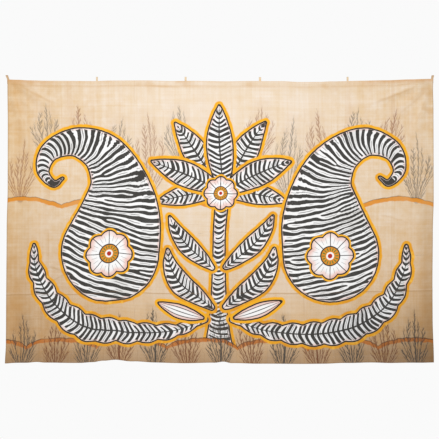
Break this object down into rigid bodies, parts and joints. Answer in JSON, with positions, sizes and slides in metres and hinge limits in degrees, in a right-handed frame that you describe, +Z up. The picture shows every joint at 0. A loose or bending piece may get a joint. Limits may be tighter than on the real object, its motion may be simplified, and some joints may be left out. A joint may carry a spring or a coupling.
{
  "type": "wall tapestry",
  "caption": "Wide painted cotton wall hanging: a flat-hung cloth with a turned top hem, soft folds, and tape loops along its top edge.",
  "frame": {"origin": "middle of the hanging line, the level line that the nails or the rod take through the tape loops", "axes": "+X along the width, to the right when seen from the front; -Y out of the cloth's painted front; +Z up"},
  "size_m": [3.2178, 0.0629, 2.1646],
  "materials": {
    "painted_cotton": "matte hand-painted cotton, tan wash ground",
    "cotton_tape": "matte woven cotton tape"
  },
  "bodies": {
    "root": {"cloth": "painted_cotton", "tape_loop_1": "cotton_tape", "tape_loop_2": "cotton_tape", "tape_loop_3": "cotton_tape", "tape_loop_4": "cotton_tape", "tape_loop_5": "cotton_tape", "tape_loop_6": "cotton_tape"}
  },
  "joints": []
}
